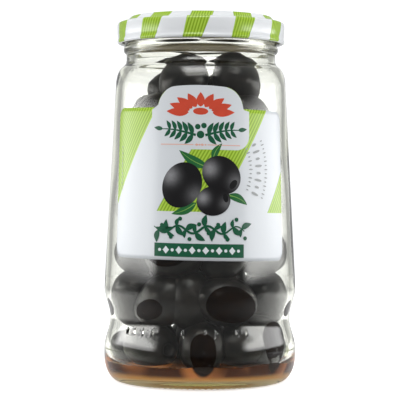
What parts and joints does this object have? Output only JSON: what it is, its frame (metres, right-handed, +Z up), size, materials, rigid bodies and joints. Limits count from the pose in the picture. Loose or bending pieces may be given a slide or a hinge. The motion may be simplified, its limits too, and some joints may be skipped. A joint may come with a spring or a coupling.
{
  "type": "jar of olives",
  "caption": "Tapered glass jar of pitted black olives with a waist above its base, a striped twist-off metal lid and a front label.",
  "frame": {"origin": "centre of the jar's foot, on the surface it stands on", "axes": "+Z up along the jar's axis; the label faces -Y"},
  "size_m": [0.0694, 0.0694, 0.1312],
  "materials": {
    "glass": "clear, faintly green at its edges",
    "lid_enamel": "glossy enamel with slanted green stripes",
    "label_paper": "glossy print in white, green and red",
    "olive_skin": "satin dark skin, wet where it touches the glass",
    "brine": "thin dark brown liquid"
  },
  "bodies": {
    "root": {"jar_glass": "glass", "lid": "lid_enamel", "label": "label_paper", "olives": "olive_skin"}
  },
  "joints": []
}
